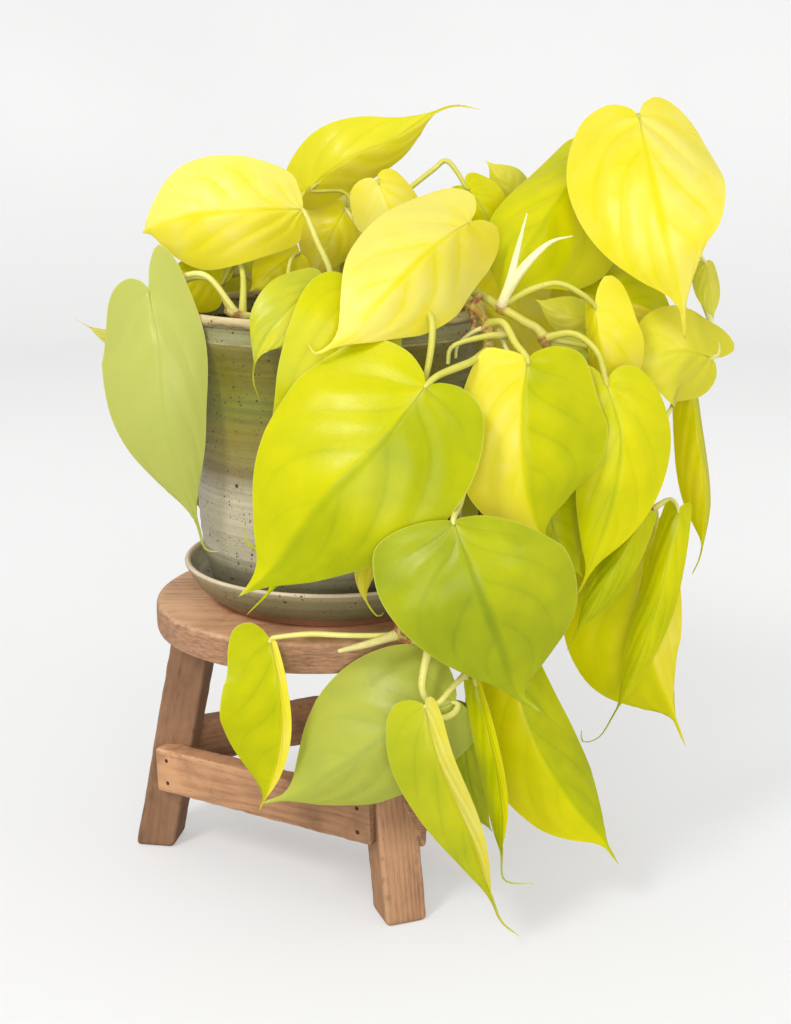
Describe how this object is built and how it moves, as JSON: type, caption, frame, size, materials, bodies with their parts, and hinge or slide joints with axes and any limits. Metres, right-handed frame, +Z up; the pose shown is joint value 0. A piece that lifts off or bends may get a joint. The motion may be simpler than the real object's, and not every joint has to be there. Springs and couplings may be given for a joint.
{
  "type": "potted heartleaf philodendron",
  "caption": "Trailing heartleaf plant in a stoneware pot and saucer, standing on a small round wooden stool with splayed legs.",
  "frame": {"origin": "bottom centre of the bounding box, on the floor under the stool", "axes": "+Z up; -Y towards the pictured front; +X to the right as seen from the front"},
  "size_m": [0.3342, 0.276, 0.4033],
  "materials": {
    "stool_top_wood": "worn stained board, satin",
    "stool_leg_wood": "rough sawn, waxed",
    "saucer_glaze": "speckled satin glaze",
    "pot_glaze": "speckled satin glaze",
    "potting_soil": "loose dark potting mix",
    "foliage_bright": "satin leaf, bright yellow green",
    "foliage_green": "satin leaf, yellow green"
  },
  "bodies": {
    "root": {"stool_top": "stool_top_wood", "stool_leg_front": "stool_leg_wood", "stool_leg_left": "stool_leg_wood", "stool_leg_back": "stool_leg_wood", "stretcher_front": "stool_leg_wood", "stretcher_rear": "stool_leg_wood", "stretcher_right": "stool_leg_wood", "saucer": "saucer_glaze", "pot": "pot_glaze", "soil": "potting_soil", "vine_front": "foliage_bright", "vine_centre": "foliage_bright", "vine_left": "foliage_bright", "vine_crown": "foliage_bright", "vine_right": "foliage_bright", "vine_back_right": "foliage_green", "vine_back": "foliage_green", "vine_back_left": "foliage_green"}
  },
  "joints": []
}
